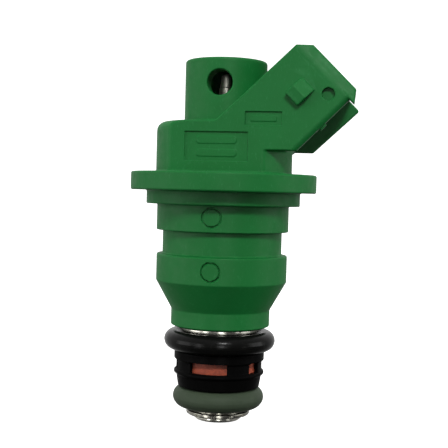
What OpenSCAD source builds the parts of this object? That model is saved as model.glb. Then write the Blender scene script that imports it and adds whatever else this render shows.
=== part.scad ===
// Bottom-feed electromagnetic fuel injector, built as separate pieces.
// Millimetres. The axis is Z, the spray tip points down (-Z), and the origin is on the
// axis at the underside of the flange. The electrical connector leans out towards +X.

/* [Overmould] */
// Radius of the mounting flange
flange_r = 15.7; // [15.2:0.1:16.5]
// Thickness of the mounting flange
flange_t = 3.08; // [2.6:0.02:3.6]
// Radius of the pilot ring below the flange
pilot_r = 13.0; // [12.6:0.1:13.6]
// Height of the pilot ring
pilot_h = 2.24; // [2:0.02:2.6]
// Radius of the upper land
upper_land_r = 11.17; // [11:0.01:11.6]
// Radius of the groove between the lands
land_groove_r = 10.1; // [9.9:0.05:10.4]
// Radius of the lower land
lower_land_r = 11.08; // [10.9:0.01:11.5]
// Radius of the neck at the bottom of the plastic
neck_r = 8.38; // [8.2:0.02:8.8]
// Radius of the shoulder above the flange
shoulder_r = 11.5; // [11.2:0.1:12]
// Top of the shoulder above the flange underside
shoulder_top = 11.48; // [11.2:0.02:12]
// Distance from the axis to the flat faces of the shoulder and connector
flat_y = 8.5; // [8.3:0.05:8.8]
// Radius of the top stub
stub_r = 6.9; // [6.7:0.05:7.2]
// Top of the stub above the flange underside
stub_top = 21.9; // [21.5:0.02:22.6]
// Diameter of the round window in the stub
window_d = 4.2; // [3.6:0.1:4.6]
// Height of the window's centre
window_z = 17.8; // [17.5:0.1:18.3]

/* [Connector] */
// Lean of the connector from the horizontal, in degrees
connector_tilt = 45; // [44:0.5:46]
// Distance along the connector axis from the origin to its rim
rim_a = 27.4; // [26.8:0.1:28]
// Upper side of the connector box at its rim, measured across its axis
box_top_b = 7.92; // [7.8:0.02:8.2]
// Lower wall of the connector box, measured across its axis
box_low_b = -2.9; // [-3.1:0.05:-2.8]
// Half width of the plug cavity
cavity_half_y = 7.1; // [6.8:0.05:7.3]
// Height of the plug cavity across its narrow side
cavity_h = 8.2; // [8:0.05:8.4]
// Distance along the connector axis to the floor of the cavity
cavity_floor_a = 16.4; // [16:0.1:17]
// Width of a terminal blade
blade_w = 2.8; // [2.6:0.1:3]
// Thickness of a terminal blade
blade_t = 0.8; // [0.6:0.05:1]
// Distance between the two terminal blades
blade_pitch = 5.0; // [4.6:0.1:5.4]

/* [Seals and filter] */
// Outer radius of the upper O-ring
upper_ring_r = 9.46; // [9.44:0.02:9.5]
// Section radius of the upper O-ring
upper_ring_section = 1.65; // [1.6:0.01:1.66]
// Outer radius of the lower O-ring
lower_ring_r = 7.76; // [7.72:0.02:7.8]
// Section radius of the lower O-ring
lower_ring_section = 1.77; // [1.72:0.01:1.77]
// Angle that each of the two wide filter windows spans
wide_window_deg = 52; // [44:2:58]
// Angle that each of the four narrow filter windows spans
narrow_window_deg = 19; // [12:1:26]

/* [Valve] */
// Gap between the pole face and the armature with the valve closed
pole_gap = 0.15; // [0.12:0.01:0.25]
// Radius of the armature
armature_r = 3.0; // [2.9:0.02:3.04]
// Radius of the valve ball
ball_r = 1.5; // [1.4:0.02:1.55]
// Wire diameter of the preload spring
spring_wire_d = 0.4; // [0.3:0.02:0.44]
// Number of turns in the preload spring
spring_turns = 7; // [5:1:9]

/* [Hidden] */
$fn = 96;
eps = 0.05;
gap = 0.05;
edge = 0.3;

// Heights of the plastic's steps, from the flange underside down
pilot_low = -pilot_h;
upper_land_low = -6.61;
groove_low = -10.56;
lower_land_low = -15.06;
cone_low = -19.87;
neck_low = -22.54;
plastic_low = -22.86;
plastic_low_r = 7.65;

// Connector, in its own frame: a along its axis, b across it, y sideways
bottom_z = 6.8;
rear_bottom_z = 7.1;
band_start_a = 25.5;
band_depth = 0.48;
corner_cut = 1.92;
box_top_draft = 0.021;
front_cheek_b = -4.3;
rear_cheek_b = -5.1;
rear_cheek_draft = 0.028;
lip_b = -5.35;
cheek_t = 1.7;
cheek_bevel = 0.55;
rear_cheek_a = 26.0;
cavity_b = box_low_b + 1.25 + cavity_h / 2;
cavity_corner_r = 1.0;
blade_tip_a = rim_a - 4.0;
terminal_x = 5.6;

// Locking nubs on the connector's flat faces
nub_low_a = 19.0;
nub_ridge_a = 20.65;
nub_high_a = 22.55;
nub_low_b = 0.6;
nub_w = 2.8;
nub_h = 1.45;
nub_low_h = 1.1;
nub_high_h = 0.35;

// Marks on the front flat
label_x = -0.04;
label_z = 7.28;
label_w = 10.3;
label_h = 4.7;
plate_x = 7.52;
plate_z = 11.83;
plate_w = 5.9;
plate_h = 2.2;
mark_depth = 0.28;

// Magnetic circuit
housing_r = 9.1;
housing_wall = 0.8;
housing_low = -16.9;
coil_floor = -15.9;
washer_low = -0.9;
washer_top = 0.9;
core_r = 3.2;
core_bore_r = 1.9;
core_top = 14.6;
chamber_top = 20.6;
pole_z = -15.5;
shell_r = 3.65;
shell_bore_r = core_r + gap;
shell_low = -18.6;
shell_top = -12.5;
bobbin_r = 8.2;
bobbin_barrel_r = 4.5;
bobbin_low_flange = 1.4;
bobbin_top_flange = 1.7;
winding_r = 7.6;
winding_layers = 22;
seal_section = 0.5;

// Valve body and nozzle
body_r = 6.6;
body_step_z = -23.75;
gland_r = 6.12;
gland_low = -26.85;
chamber_r = 4.6;
nozzle_top = -32.9;
nozzle_r = 4.1;
tip_z = -38.65;
guide_low = -20.6;
armature_top = pole_z - pole_gap;
armature_low = -21.0;
spacer_top = -21.4;
spacer_low = -22.2;
needle_r = 0.9;
needle_bore_r = 1.8;
guide_bore_r = 1.25;
needle_guide_top = -33.5;
seat_top = -34.5;
seat_low = -38.0;
seat_r = 3.25;
ball_z = -36.1;
ball_seat_gap = 0.02;
orifice_r = 0.6;
orifice_disc_t = 0.25;
fuel_port_r = 1.0;
fuel_port_z = -29.1;
spring_r = 1.35;
spring_top = -9.0;
spring_low = -17.0;

// Filter cage
cage_top = -26.85;
cage_rim_r = 7.65;
cage_band_r = 7.28;
cage_bore_r = 6.68;
cage_low = -32.95;
filter_window_top = -28.3;
filter_window_low = -30.12;
filter_turn = 265;
narrow_offset = 68;
mesh_r = 6.63;
mesh_t = 0.13;

upper_ring_z = -25.1;
lower_ring_z = -34.78;
retainer_top = -37.0;
retainer_low = -37.78;
retainer_r = 5.39;
retainer_teeth = 12;

// Points of an arc, for the round stretches of an outline
function arc(cx, cy, r, from, to, n = 8) =
    [for (i = [0:n]) [cx + r * cos(from + (to - from) * i / n),
                      cy + r * sin(from + (to - from) * i / n)]];

module tube(r, bore, low, high) {
    translate([0, 0, low])
        difference() {
            cylinder(r = r, h = high - low);
            translate([0, 0, -eps]) cylinder(r = bore, h = high - low + 2 * eps);
        }
}

module ring(centre_r, section_r, z) {
    translate([0, 0, z])
        rotate_extrude() translate([centre_r, 0]) circle(r = section_r, $fn = 48);
}

module revolve(points) {
    rotate_extrude() polygon(points);
}

// Turns (a, y, b) of the connector's own frame into the part's frame
module connector_frame() {
    rotate([0, -connector_tilt, 0]) children();
}

// A box in the connector's frame
module slanted_box(a, y, b) {
    connector_frame()
        translate([a[0], y[0], b[0]]) cube([a[1] - a[0], y[1] - y[0], b[1] - b[0]]);
}

// An outline in the a-b plane, extruded from y0 to y1
module slanted_plate(points, y0, y1) {
    connector_frame()
        translate([0, y1, 0]) rotate([90, 0, 0]) linear_extrude(y1 - y0) polygon(points);
}

module rounded_rect(w, h, r) {
    square([w - 2 * r, h], center = true);
    square([w, h - 2 * r], center = true);
    for (x = [-1, 1], y = [-1, 1])
        translate([x * (w / 2 - r), y * (h / 2 - r)]) circle(r = r, $fn = 32);
}

// ---- Overmould ----

module overmould_lathe() {
    revolve(concat(
        [[0, plastic_low], [plastic_low_r, plastic_low]],
        [[neck_r, neck_low], [neck_r, cone_low], [lower_land_r, lower_land_low]],
        arc(lower_land_r - edge, groove_low - edge, edge, 0, 90, 4),
        [[land_groove_r, groove_low], [land_groove_r, upper_land_low]],
        arc(upper_land_r - edge / 2, upper_land_low + edge / 2, edge / 2, -90, 0, 3),
        [[upper_land_r, pilot_low]],
        arc(pilot_r - edge / 2, pilot_low + edge / 2, edge / 2, -90, 0, 3),
        [[pilot_r, 0]],
        arc(flange_r - edge, edge, edge, -90, 0, 4),
        arc(flange_r - edge, flange_t - edge, edge, 0, 90, 4),
        [[0, flange_t]]));
}

module shoulder() {
    round_r = 1.5;
    fillet_r = 0.5;
    intersection() {
        revolve(concat(
            [[0, flange_t - 1], [shoulder_r + fillet_r, flange_t - 1]],
            arc(shoulder_r + fillet_r, flange_t + fillet_r, fillet_r, 270, 180, 4),
            arc(shoulder_r - round_r, shoulder_top - round_r, round_r, 0, 90, 6),
            [[0, shoulder_top]]));
        translate([-20, -flat_y, 0]) cube([40, 2 * flat_y, 30]);
    }
}

module stub() {
    round_r = 0.45;
    revolve(concat(
        [[0, flange_t], [stub_r, flange_t]],
        arc(stub_r - round_r, stub_top - round_r, round_r, 0, 90, 5),
        [[0, stub_top]]));
}

// Everything of the connector below this height is cut away
module above(z) {
    translate([0, -20, z]) cube([40, 40, 40]);
}

module connector_box() {
    root_a = 7.5;
    root_b = box_top_b + box_top_draft * (rim_a - corner_cut - root_a);
    intersection() {
        slanted_plate([[3, box_low_b], [rim_a, box_low_b], [rim_a, box_top_b - corner_cut],
                       [rim_a - corner_cut, box_top_b], [root_a, root_b], [3, 3.5]],
                      -flat_y, flat_y);
        above(bottom_z);
    }
}

// The wall that runs along the front of the groove under the connector
module front_cheek() {
    intersection() {
        connector_frame()
            rotate([90, 0, 90])
                linear_extrude(band_start_a + 0.1)
                    polygon([[-flat_y, 0], [-flat_y, front_cheek_b + cheek_bevel],
                             [cheek_bevel - flat_y, front_cheek_b],
                             [cheek_t - flat_y, front_cheek_b], [cheek_t - flat_y, 0]]);
        above(bottom_z);
    }
}

// The deeper wall along the rear of the groove, growing deeper towards the rim
module rear_cheek() {
    root_a = 12;
    end_b = rear_cheek_b - rear_cheek_draft * (rear_cheek_a - root_a);
    intersection() {
        slanted_plate([[3, 0], [rear_cheek_a, 0], [rear_cheek_a, end_b],
                       [root_a, rear_cheek_b], [3, rear_cheek_b]],
                      flat_y - cheek_t, flat_y);
        above(rear_bottom_z);
    }
}

// The front cheek ends in a deeper lip at the rim, with its corner cut off
module rim_lip() {
    slanted_plate([[band_start_a, 0], [rim_a, 0], [rim_a, -3.8], [band_start_a, lip_b]],
                  -flat_y, -flat_y + cheek_t + 0.5);
}

// Small tab halfway along the front cheek's inner edge
module cheek_tab() {
    slanted_box([18.9, 20.2], [-flat_y + cheek_t - 0.7, -flat_y + cheek_t],
                [front_cheek_b - 0.35, 0]);
}

// The rim's flat faces taper inwards
module rim_taper() {
    for (side = [-1, 1])
        connector_frame()
            translate([0, 0, -10])
                linear_extrude(20)
                    polygon([[band_start_a, side * flat_y],
                             [rim_a + 1, side * (flat_y - band_depth * 1.55)],
                             [rim_a + 1, side * (flat_y + 1)],
                             [band_start_a, side * (flat_y + 1)]]);
}

module plug_cavity() {
    connector_frame()
        translate([cavity_floor_a, 0, cavity_b])
            rotate([90, 0, 90])
                linear_extrude(rim_a)
                    rounded_rect(2 * cavity_half_y, cavity_h, cavity_corner_r);
}

// Roof-shaped nub that a connector clip snaps over
module locking_nub(side) {
    base = flat_y - 0.4;
    connector_frame()
        translate([0, 0, nub_low_b])
            linear_extrude(nub_w)
                polygon([[nub_low_a, side * base], [nub_low_a, side * (flat_y + nub_low_h)],
                         [nub_ridge_a, side * (flat_y + nub_h)],
                         [nub_high_a, side * (flat_y + nub_high_h)],
                         [nub_high_a, side * base]]);
}

// Round recess left in the connector's face by an ejector pin
module ejector_mark() {
    connector_frame()
        translate([23.73, -flat_y + 0.8, -1.35])
            rotate([90, 0, 0]) cylinder(r = 1.03, h = 2, $fn = 48);
}

// Blank label panel with two plain raised bars, and a blank plate with one bar
module flat_marks() {
    bar_w = 6.6;
    bar_h = 1.2;
    bar_rise = 0.11;
    difference() {
        translate([label_x - label_w / 2, -flat_y - 1, label_z - label_h / 2])
            cube([label_w, 1 + mark_depth, label_h]);
        for (row = [-1, 1])
            translate([label_x - bar_w / 2, -flat_y + mark_depth - bar_rise,
                       label_z + row * 1.05 - bar_h / 2])
                cube([bar_w, 1, bar_h]);
    }
    difference() {
        translate([plate_x - plate_w / 2, -flat_y - 1, plate_z - plate_h / 2])
            cube([plate_w, 1 + mark_depth, plate_h]);
        translate([plate_x - 2.1, -flat_y + mark_depth - bar_rise, plate_z - 0.45])
            cube([4.2, 1, 0.9]);
    }
}

// Round moulding marks on the front of the two lands: a thin ring around a flat disc
module land_marks() {
    for (mark = [[-4.24, upper_land_r], [-12.95, lower_land_r]])
        translate([0, -mark[1] + 0.28, mark[0]])
            rotate([90, 0, 0])
                difference() {
                    cylinder(r = 1.6, h = 2, $fn = 48);
                    translate([0, 0, -1]) cylinder(r = 1.38, h = 4, $fn = 48);
                }
}

// The space that the inner pieces fill
module inner_space() {
    translate([0, 0, -30]) cylinder(r = body_r + gap, h = 30);
    translate([0, 0, housing_low]) cylinder(r = housing_r + gap, h = washer_top - housing_low);
    cylinder(r = core_r + gap, h = chamber_top);
    for (side = [-1, 1])
        terminal_solid(side, gap, gap);
}

// Shallow dimple in the top, where the moulding gate was trimmed off
module gate_dimple() {
    translate([0, 0, stub_top - 0.4]) cylinder(r1 = 2.6, r2 = 3.2, h = 0.6);
}

module overmould_body() {
    color([0.13, 0.42, 0.2])
        difference() {
            union() {
                overmould_lathe();
                shoulder();
                stub();
                connector_box();
                front_cheek();
                rear_cheek();
                rim_lip();
                cheek_tab();
                for (side = [-1, 1])
                    locking_nub(side);
            }
            rim_taper();
            plug_cavity();
            ejector_mark();
            flat_marks();
            land_marks();
            inner_space();
            gate_dimple();
            translate([0, 0, window_z])
                rotate([90, 0, 0]) cylinder(d = window_d, h = 20, $fn = 48);
        }
}

// ---- Terminals ----

// Blade with a tapered tip, bent down through the flux washer to the bobbin.
// grow widens it all round for its slot in the plastic.
module terminal_solid(side, grow, low_grow) {
    half = blade_w / 2 + grow;
    thick = blade_t + 2 * grow;
    centre_y = side * blade_pitch / 2;
    bend_z = terminal_x + sqrt(2) * cavity_b;
    tip = blade_tip_a + grow;
    taper = 0.9;
    translate([0, centre_y, 0])
        slanted_plate([[(terminal_x + bend_z) / sqrt(2) - half, cavity_b - half],
                       [tip - taper, cavity_b - half], [tip, cavity_b - half / 2],
                       [tip, cavity_b + half / 2], [tip - taper, cavity_b + half],
                       [(terminal_x + bend_z) / sqrt(2) - half, cavity_b + half]],
                      -thick / 2, thick / 2);
    translate([terminal_x - half / 2, centre_y - thick / 2, washer_low - low_grow])
        cube([half, thick, bend_z - washer_low + low_grow]);
}

module terminal_front() {
    color([0.78, 0.76, 0.7]) terminal_solid(-1, 0, 0);
}

module terminal_rear() {
    color([0.78, 0.76, 0.7]) terminal_solid(1, 0, 0);
}

// ---- Magnetic circuit ----

module core_tube() {
    chamfer = 0.3;
    color([0.75, 0.75, 0.73])
        revolve([[core_bore_r, pole_z], [core_r - chamfer, pole_z], [core_r, pole_z + chamfer],
                 [core_r, 3.4], [core_r - 0.35, 3.4], [core_r - 0.35, 4.0], [core_r, 4.0],
                 [core_r, 5.4], [core_r - 0.35, 5.4], [core_r - 0.35, 6.0], [core_r, 6.0],
                 [core_r, core_top - chamfer], [core_r - chamfer, core_top],
                 [core_bore_r + 0.2, core_top], [core_bore_r, core_top - 0.2]]);
}

// Pin pressed into the core's bore. Its rounded nose shows in the window.
module core_end_plug() {
    press_r = core_bore_r - gap;
    head_r = 2.2;
    head_top = core_top + 0.7;
    pin_r = 1.2;
    step_z = 17.4;
    nose_r = 0.92;
    nose_z = 19.1;
    color([0.6, 0.6, 0.58])
        revolve(concat(
            [[0, 11.6], [press_r - 0.2, 11.6], [press_r, 11.8], [press_r, core_top + gap],
             [head_r, core_top + gap], [head_r, head_top - 0.15], [head_r - 0.15, head_top],
             [pin_r, head_top], [pin_r, step_z], [pin_r - 0.14, step_z + 0.14]],
            arc(0, nose_z, nose_r, 0, 90, 8)));
}

module adjusting_sleeve() {
    slit_w = 0.5;
    color([0.7, 0.7, 0.68])
        difference() {
            tube(core_bore_r - gap, 1.0, spring_top, spring_top + 12);
            translate([-slit_w / 2, 0, spring_top - 1]) cube([slit_w, 5, 14]);
        }
}

function helix(t) =
    let (ease = min(1, min(t, 1 - t) * spring_turns / 1.25),
         climb = spring_low + spring_wire_d / 2
                 + (spring_top - spring_low - spring_wire_d) * (t - sin(360 * t) / 40))
    [spring_r * cos(360 * spring_turns * t), spring_r * sin(360 * spring_turns * t), climb];

module preload_spring() {
    steps = 16 * spring_turns;
    sides = 8;
    wire_r = spring_wire_d / 2;
    points = [for (i = [0:steps])
                  for (j = [0:sides - 1])
                      let (c = helix(i / steps),
                           turn = 360 * spring_turns * i / steps,
                           out = wire_r * cos(360 * j / sides),
                           up = wire_r * sin(360 * j / sides))
                      [c[0] + out * cos(turn), c[1] + out * sin(turn), c[2] + up]];
    walls = [for (i = [0:steps - 1])
                 for (j = [0:sides - 1])
                     let (k = (j + 1) % sides)
                     [i * sides + j, i * sides + k, (i + 1) * sides + k, (i + 1) * sides + j]];
    start_cap = [[for (j = [0:sides - 1]) sides - 1 - j]];
    end_cap = [[for (j = [0:sides - 1]) steps * sides + j]];
    color([0.72, 0.72, 0.74]) polyhedron(points, concat(walls, start_cap, end_cap));
}

module nonmagnetic_shell() {
    color([0.8, 0.79, 0.75]) tube(shell_r, shell_bore_r, shell_low, shell_top);
}

module coil_bobbin() {
    low = coil_floor;
    high = washer_low;
    seal_r = core_r + gap + 2 * seal_section + gap;
    low_seal_r = shell_r + gap + 2 * seal_section + gap;
    color([0.16, 0.15, 0.14])
        revolve([[low_seal_r, low], [bobbin_r, low], [bobbin_r, low + bobbin_low_flange],
                 [bobbin_barrel_r, low + bobbin_low_flange],
                 [bobbin_barrel_r, high - bobbin_top_flange],
                 [bobbin_r, high - bobbin_top_flange], [bobbin_r, high], [seal_r, high],
                 [seal_r, high - 1.2], [shell_bore_r + gap, high - 1.2],
                 [shell_bore_r + gap, shell_top + gap], [shell_r + gap, shell_top + gap],
                 [shell_r + gap, low + 1.1], [low_seal_r, low + 1.1]]);
}

// The outer layer of wire shows as a row of small round ridges
module coil_winding() {
    low = coil_floor + bobbin_low_flange + gap;
    high = washer_low - bobbin_top_flange - gap;
    step = (high - low) / winding_layers;
    ridge = step / 2;
    color([0.62, 0.3, 0.12])
        revolve(concat(
            [[bobbin_barrel_r + gap, high], [bobbin_barrel_r + gap, low]],
            [for (i = [0:winding_layers - 1])
                 for (t = [-60, 0, 60])
                     [winding_r + ridge * cos(t), low + (i + 0.5) * step + ridge * sin(t)]]));
}

module coil_housing() {
    color([0.55, 0.56, 0.55])
        revolve([[body_r + gap, housing_low], [housing_r - 0.4, housing_low],
                 [housing_r, housing_low + 0.4], [housing_r, washer_top],
                 [housing_r - housing_wall, washer_top], [housing_r - housing_wall, coil_floor],
                 [body_r + gap, coil_floor]]);
}

module flux_washer() {
    slot = blade_t + 0.8;
    color([0.5, 0.51, 0.5])
        difference() {
            tube(housing_r - housing_wall - gap, core_r + gap, washer_low, washer_top);
            for (side = [-1, 1])
                translate([terminal_x - 1.2, side * blade_pitch / 2 - slot / 2, washer_low - 1])
                    cube([2.4, slot, 4]);
        }
}

module upper_bobbin_seal() {
    color([0.12, 0.12, 0.12])
        ring(core_r + gap + seal_section, seal_section, washer_low - 1.2 + seal_section + gap);
}

module lower_bobbin_seal() {
    color([0.12, 0.12, 0.12])
        ring(shell_r + gap + seal_section, seal_section, coil_floor + seal_section + gap);
}

// ---- Moving valve ----

module armature() {
    top = armature_top;
    seat_z = spring_low;
    color([0.66, 0.66, 0.64])
        difference() {
            revolve([[0, armature_low], [2.4, armature_low], [armature_r + 0.16, armature_low + 0.5],
                     [armature_r + 0.16, armature_low + 2.0], [armature_r, armature_low + 2.2],
                     [armature_r, top - 0.3], [armature_r - 0.3, top], [1.75, top],
                     [1.75, seat_z], [0, seat_z]]);
            translate([0, 0, armature_low - 1]) cylinder(r = needle_r + 0.02, h = 3.4);
            for (turn = [45, 225])
                rotate([0, 0, turn])
                    translate([2.35, 0, armature_low - 1]) cylinder(r = 0.35, h = 10, $fn = 24);
        }
}

module needle() {
    collar_r = guide_bore_r - gap;
    top = armature_low + 2.4;
    color([0.82, 0.82, 0.8])
        difference() {
            revolve([[0, ball_z + 0.6], [needle_r, ball_z + 0.6], [needle_r, seat_top - 0.2],
                     [collar_r, seat_top], [collar_r, needle_guide_top + 0.4],
                     [needle_r, needle_guide_top + 0.7], [needle_r, top - 0.2],
                     [needle_r - 0.2, top], [0, top]]);
            translate([0, 0, ball_z]) sphere(r = ball_r + 0.01);
        }
}

module valve_ball() {
    color([0.88, 0.88, 0.88]) translate([0, 0, ball_z]) sphere(r = ball_r);
}

// ---- Valve body and nozzle ----

module armature_guide() {
    color([0.7, 0.55, 0.3]) tube(shell_r, armature_r + 0.2, guide_low, shell_low);
}

module valve_body() {
    tip_chamfer = 0.35;
    color([0.72, 0.71, 0.68])
        difference() {
            revolve([[0, tip_z], [nozzle_r - tip_chamfer, tip_z], [nozzle_r, tip_z + tip_chamfer],
                     [nozzle_r, nozzle_top], [chamber_r, nozzle_top + 0.4],
                     [chamber_r, gland_low], [gland_r, gland_low + 0.4], [gland_r, body_step_z],
                     [body_r - 0.2, body_step_z], [body_r, body_step_z + 0.2],
                     [body_r, coil_floor], [0, coil_floor]]);
            translate([0, 0, guide_low]) cylinder(r = shell_r + gap, h = 10);
            translate([0, 0, spacer_low]) cylinder(r = armature_r + 0.3, h = 10);
            translate([0, 0, tip_z]) cylinder(r = needle_bore_r, h = 30);
            translate([0, 0, tip_z - 1]) cylinder(r = seat_r + gap, h = needle_guide_top - tip_z + 1);
            for (turn = [0:90:270])
                rotate([0, 0, turn])
                    translate([0, 0, fuel_port_z])
                        rotate([0, 90, 0]) cylinder(r = fuel_port_r, h = 10, $fn = 32);
        }
}

module lift_spacer() {
    color([0.65, 0.65, 0.63]) tube(armature_r + 0.2, needle_bore_r - 0.3, spacer_low, spacer_top);
}

module needle_guide() {
    color([0.68, 0.68, 0.66])
        difference() {
            tube(seat_r, guide_bore_r, seat_top, needle_guide_top);
            for (turn = [0:90:270])
                rotate([0, 0, turn])
                    translate([2.2, 0, seat_top - 1]) cylinder(r = 0.45, h = 4, $fn = 24);
        }
}

// The ball closes on a 45 degree cone
module valve_seat() {
    pocket_r = ball_r + 0.25;
    cone_top = ball_z - (sqrt(2) * (ball_r + ball_seat_gap) - pocket_r);
    cone_low = cone_top - (pocket_r - orifice_r);
    color([0.7, 0.7, 0.68])
        revolve([[orifice_r, seat_low], [seat_r, seat_low], [seat_r, seat_top],
                 [pocket_r, seat_top], [pocket_r, cone_top], [orifice_r, cone_low]]);
}

module orifice_disc() {
    color([0.76, 0.76, 0.75])
        difference() {
            translate([0, 0, seat_low - orifice_disc_t]) cylinder(r = seat_r, h = orifice_disc_t);
            for (turn = [0:90:270])
                rotate([0, 0, turn])
                    translate([0.35, 0, seat_low - 1]) cylinder(r = 0.12, h = 2, $fn = 16);
        }
}

module seat_retainer() {
    color([0.66, 0.66, 0.64]) tube(seat_r, 2.1, tip_z, seat_low - orifice_disc_t);
}

module retaining_ring() {
    color([0.74, 0.73, 0.7])
        difference() {
            revolve([[nozzle_r + gap, retainer_low], [retainer_r - 0.2, retainer_low],
                     [retainer_r, retainer_low + 0.2], [retainer_r, retainer_top - 0.15],
                     [retainer_r - 0.15, retainer_top], [nozzle_r + gap, retainer_top]]);
            for (turn = [0:360 / retainer_teeth:359])
                rotate([0, 0, turn])
                    translate([retainer_r - 0.35, -0.3, retainer_low - 1]) cube([2, 0.6, 1.5]);
        }
}

// ---- Seals and filter ----

module upper_o_ring() {
    color([0.1, 0.1, 0.1])
        ring(upper_ring_r - upper_ring_section, upper_ring_section, upper_ring_z);
}

module lower_o_ring() {
    color([0.24, 0.3, 0.25])
        ring(lower_ring_r - lower_ring_section, lower_ring_section, lower_ring_z);
}

module filter_cage() {
    color([0.07, 0.07, 0.08])
        difference() {
            revolve(concat(
                [[chamber_r + gap, cage_low], [6.92, cage_low], [7.24, -30.95]],
                arc(cage_rim_r - 0.3, -30.5, 0.3, -60, 60, 4),
                [[cage_band_r, -29.95], [cage_band_r, -28.5], [cage_rim_r, -28.35],
                 [cage_rim_r, cage_top - 0.2], [cage_rim_r - 0.2, cage_top],
                 [chamber_r + gap, cage_top], [chamber_r + gap, -27.5], [cage_bore_r, -27.5],
                 [cage_bore_r, -32.15], [chamber_r + gap, -32.15]]));
            for (turn = [filter_turn, filter_turn + 180]) {
                filter_window(turn, wide_window_deg / 2);
                filter_window(turn - narrow_offset, narrow_window_deg / 2);
                filter_window(turn + narrow_offset, narrow_window_deg / 2);
            }
        }
}

// Wedge that opens one window in the cage, half its angle to each side of turn
module filter_window(turn, half) {
    reach = 12;
    rotate([0, 0, turn])
        translate([0, 0, filter_window_low])
            linear_extrude(filter_window_top - filter_window_low)
                polygon([[3 * cos(half), -3 * sin(half)], [reach * cos(half), -reach * sin(half)],
                         [reach * cos(half), reach * sin(half)], [3 * cos(half), 3 * sin(half)]]);
}

module filter_mesh() {
    color([0.62, 0.24, 0.14]) tube(mesh_r, mesh_r - mesh_t, -32.1, -27.55);
}

overmould_body();
terminal_front();
terminal_rear();
core_tube();
core_end_plug();
adjusting_sleeve();
preload_spring();
armature();
needle();
valve_ball();
armature_guide();
nonmagnetic_shell();
coil_bobbin();
coil_winding();
coil_housing();
flux_washer();
upper_bobbin_seal();
lower_bobbin_seal();
valve_body();
lift_spacer();
needle_guide();
valve_seat();
orifice_disc();
seat_retainer();
upper_o_ring();
filter_cage();
filter_mesh();
lower_o_ring();
retaining_ring();
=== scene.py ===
"""Looks of the bottom-feed fuel injector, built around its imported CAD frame.

The modelling code works in millimetres and Blender in metres. The axis is Z, the spray tip
points down, and the origin is on the axis at the underside of the flange. The connector
leans out towards +X at 45 degrees. Its own coordinates are a along it, b across it and y.
"""

import math

import bpy
import numpy as np
import openvdb
from mathutils import Matrix, Vector

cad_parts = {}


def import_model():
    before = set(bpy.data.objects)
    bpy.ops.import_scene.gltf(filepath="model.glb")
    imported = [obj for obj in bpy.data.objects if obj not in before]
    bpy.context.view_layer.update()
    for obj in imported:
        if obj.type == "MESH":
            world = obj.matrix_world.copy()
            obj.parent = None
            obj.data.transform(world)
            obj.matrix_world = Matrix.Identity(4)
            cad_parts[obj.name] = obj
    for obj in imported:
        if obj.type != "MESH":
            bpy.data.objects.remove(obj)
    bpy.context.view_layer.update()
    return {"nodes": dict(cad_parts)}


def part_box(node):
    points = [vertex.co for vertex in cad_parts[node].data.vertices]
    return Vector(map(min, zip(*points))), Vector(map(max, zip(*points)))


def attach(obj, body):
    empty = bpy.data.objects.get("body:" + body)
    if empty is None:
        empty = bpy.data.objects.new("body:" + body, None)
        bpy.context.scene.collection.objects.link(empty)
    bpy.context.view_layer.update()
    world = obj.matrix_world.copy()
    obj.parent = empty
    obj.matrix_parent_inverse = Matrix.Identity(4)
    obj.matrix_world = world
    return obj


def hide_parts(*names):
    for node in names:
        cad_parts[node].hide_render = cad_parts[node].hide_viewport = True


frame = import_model()

MM = 0.001
ROOT2 = math.sqrt(2)
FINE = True


def low_high(node):
    """The node's lowest and highest corner in millimetres"""
    low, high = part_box(node)
    return np.array(low) / MM, np.array(high) / MM


# ---- Distance fields: each is negative inside the solid, in millimetres ----


def both(a, b, edge=0.0):
    """The space inside a and b. Its outer edge is rounded to that radius."""
    if edge == 0:
        return np.maximum(a, b)
    rounded = np.hypot(np.maximum(a + edge, 0), np.maximum(b + edge, 0))
    return np.minimum(-edge, np.maximum(a, b)) + rounded


def either(a, b, fillet=0.0):
    """The space inside a or b, with a fillet of that radius where they meet"""
    return -both(-a, -b, fillet)


def without(a, b, edge=0.0):
    return both(a, -b, edge)


def between(value, low, high):
    return np.abs(value - (low + high) / 2) - (high - low) / 2


def corner_arc(before, corner, after, radius, steps):
    """Points that round off one corner of an outline"""
    if radius == 0:
        return [corner]
    back = (before - corner) / np.linalg.norm(before - corner)
    on = (after - corner) / np.linalg.norm(after - corner)
    half = math.acos(float(np.clip(back @ on, -1, 1))) / 2
    middle = back + on
    centre = corner + middle / np.linalg.norm(middle) * radius / math.sin(half)
    reach = radius / math.tan(half)
    first = corner + back * reach - centre
    last = corner + on * reach - centre
    sweep = math.acos(float(np.clip(first @ last / radius**2, -1, 1)))
    return [
        centre + (first * math.sin(sweep * (1 - t)) + last * math.sin(sweep * t)) / math.sin(sweep)
        for t in np.linspace(0, 1, steps + 1)
    ]


def outline(corners, steps=5):
    """Closed outline from (u, v, radius) corners, with each corner rounded"""
    points = np.array([c[:2] for c in corners], float)
    made = []
    for i, corner in enumerate(corners):
        after = points[(i + 1) % len(points)]
        made += corner_arc(points[i - 1], points[i], after, corner[2], steps)
    return np.array(made)


def outline_distance(points, u, v):
    """Signed distance from (u, v) to a closed outline"""
    nearest = np.full(u.shape, np.inf)
    inside = np.zeros(u.shape, bool)
    for (u0, v0), (u1, v1) in zip(points, np.roll(points, -1, axis=0)):
        du, dv = u1 - u0, v1 - v0
        t = np.clip(((u - u0) * du + (v - v0) * dv) / (du * du + dv * dv), 0, 1)
        nearest = np.minimum(nearest, (u - u0 - t * du) ** 2 + (v - v0 - t * dv) ** 2)
        if dv != 0:
            inside ^= ((v0 > v) != (v1 > v)) & (u < u0 + du * (v - v0) / dv)
    return np.where(inside, -1, 1) * np.sqrt(nearest)


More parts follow.
